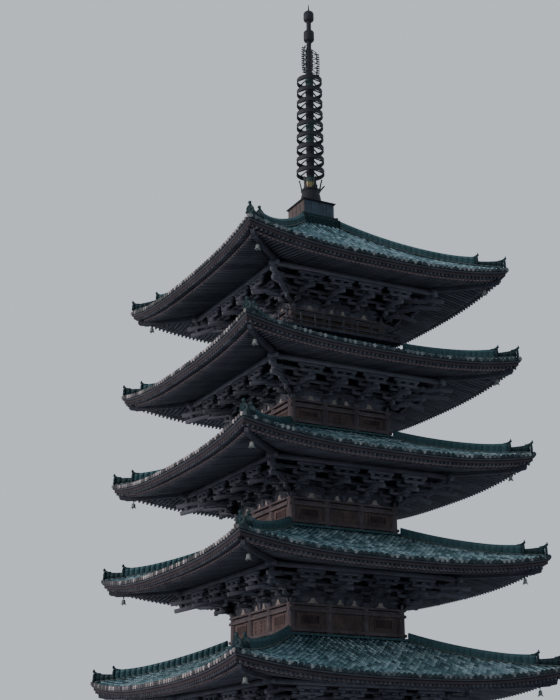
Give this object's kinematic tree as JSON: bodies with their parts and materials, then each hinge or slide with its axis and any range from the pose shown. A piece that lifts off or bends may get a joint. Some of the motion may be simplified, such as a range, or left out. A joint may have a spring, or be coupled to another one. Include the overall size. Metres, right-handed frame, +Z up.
{
  "type": "timber pagoda, 1:2 scale model",
  "caption": "Square timber pagoda with stacked curved tiled roofs, bracketed eaves, a railed top veranda, a stone platform and a bronze ringed spire; scale model at 1:2.",
  "frame": {"origin": "on the centre axis, at the underside of the stone platform", "axes": "+Z up along the central pillar, -Y out of the front side, +X to the right seen from the front"},
  "size_m": [8.66, 8.66, 23],
  "materials": {
    "stone": "weathered dressed granite",
    "timber": "old dark brown timber, nearly black under the eaves",
    "rafters": "old brown rafters and boards with paler end grain",
    "tile": "smoked blue-grey clay roof tile, lichen in the valleys",
    "ridge": "smoked clay ridge tile with a greenish cast",
    "door": "dark plank doors with iron fittings",
    "bronze": "dark bronze with green-black patina",
    "copper": "slate-blue patinated copper sheet",
    "bell": "pale grey-green verdigris"
  },
  "bodies": {
    "pagoda": {"stone_platform": "stone", "front_steps": "stone", "right_steps": "stone", "back_steps": "stone", "left_steps": "stone", "first_storey_body": "timber", "second_storey_body": "timber", "third_storey_body": "timber", "fourth_storey_body": "timber", "fifth_storey_body": "timber", "first_storey_brackets": "timber", "second_storey_brackets": "timber", "third_storey_brackets": "timber", "fourth_storey_brackets": "timber", "fifth_storey_brackets": "timber", "veranda_floor": "timber", "veranda_balustrade": "timber", "central_pillar": "timber", "first_roof_eaves": "rafters", "second_roof_eaves": "rafters", "third_roof_eaves": "rafters", "fourth_roof_eaves": "rafters", "fifth_roof_eaves": "rafters", "first_roof_tiles": "tile", "second_roof_tiles": "tile", "third_roof_tiles": "tile", "fourth_roof_tiles": "tile", "fifth_roof_tiles": "tile", "first_roof_ridges": "ridge", "second_roof_ridges": "ridge", "third_roof_ridges": "ridge", "fourth_roof_ridges": "ridge", "fifth_roof_ridges": "ridge", "front_doors": "door", "right_doors": "door", "back_doors": "door", "left_doors": "door", "spire_bowl": "bronze", "spire_lotus": "bronze", "spire_ring_1": "bronze", "spire_ring_2": "bronze", "spire_ring_3": "bronze", "spire_ring_4": "bronze", "spire_ring_5": "bronze", "spire_ring_6": "bronze", "spire_ring_7": "bronze", "spire_ring_8": "bronze", "spire_ring_9": "bronze", "water_flames": "bronze", "dragon_car": "bronze", "sacred_jewel": "bronze", "spire_square_box": "copper"},
    "top_roof_front_bell": {"top_roof_front_bell": "bell"},
    "top_roof_left_bell": {"top_roof_left_bell": "bell"},
    "fourth_roof_front_bell": {"fourth_roof_front_bell": "bell"}
  },
  "joints": [
    {"name": "top_roof_front_bell_swing", "type": "hinge", "parent": "pagoda", "child": "top_roof_front_bell", "pos_m": [-3.295, -3.295, 13.48541], "axis": [0.7071, -0.7071, 0], "range_deg": [-25, 25]},
    {"name": "top_roof_left_bell_swing", "type": "hinge", "parent": "pagoda", "child": "top_roof_left_bell", "pos_m": [-3.295, 3.295, 13.48541], "axis": [-0.7071, -0.7071, 0], "range_deg": [-25, 25]},
    {"name": "fourth_roof_front_bell_swing", "type": "hinge", "parent": "pagoda", "child": "fourth_roof_front_bell", "pos_m": [-3.43, -3.43, 11.02643], "axis": [0.7071, -0.7071, 0], "range_deg": [-25, 25]}
  ]
}
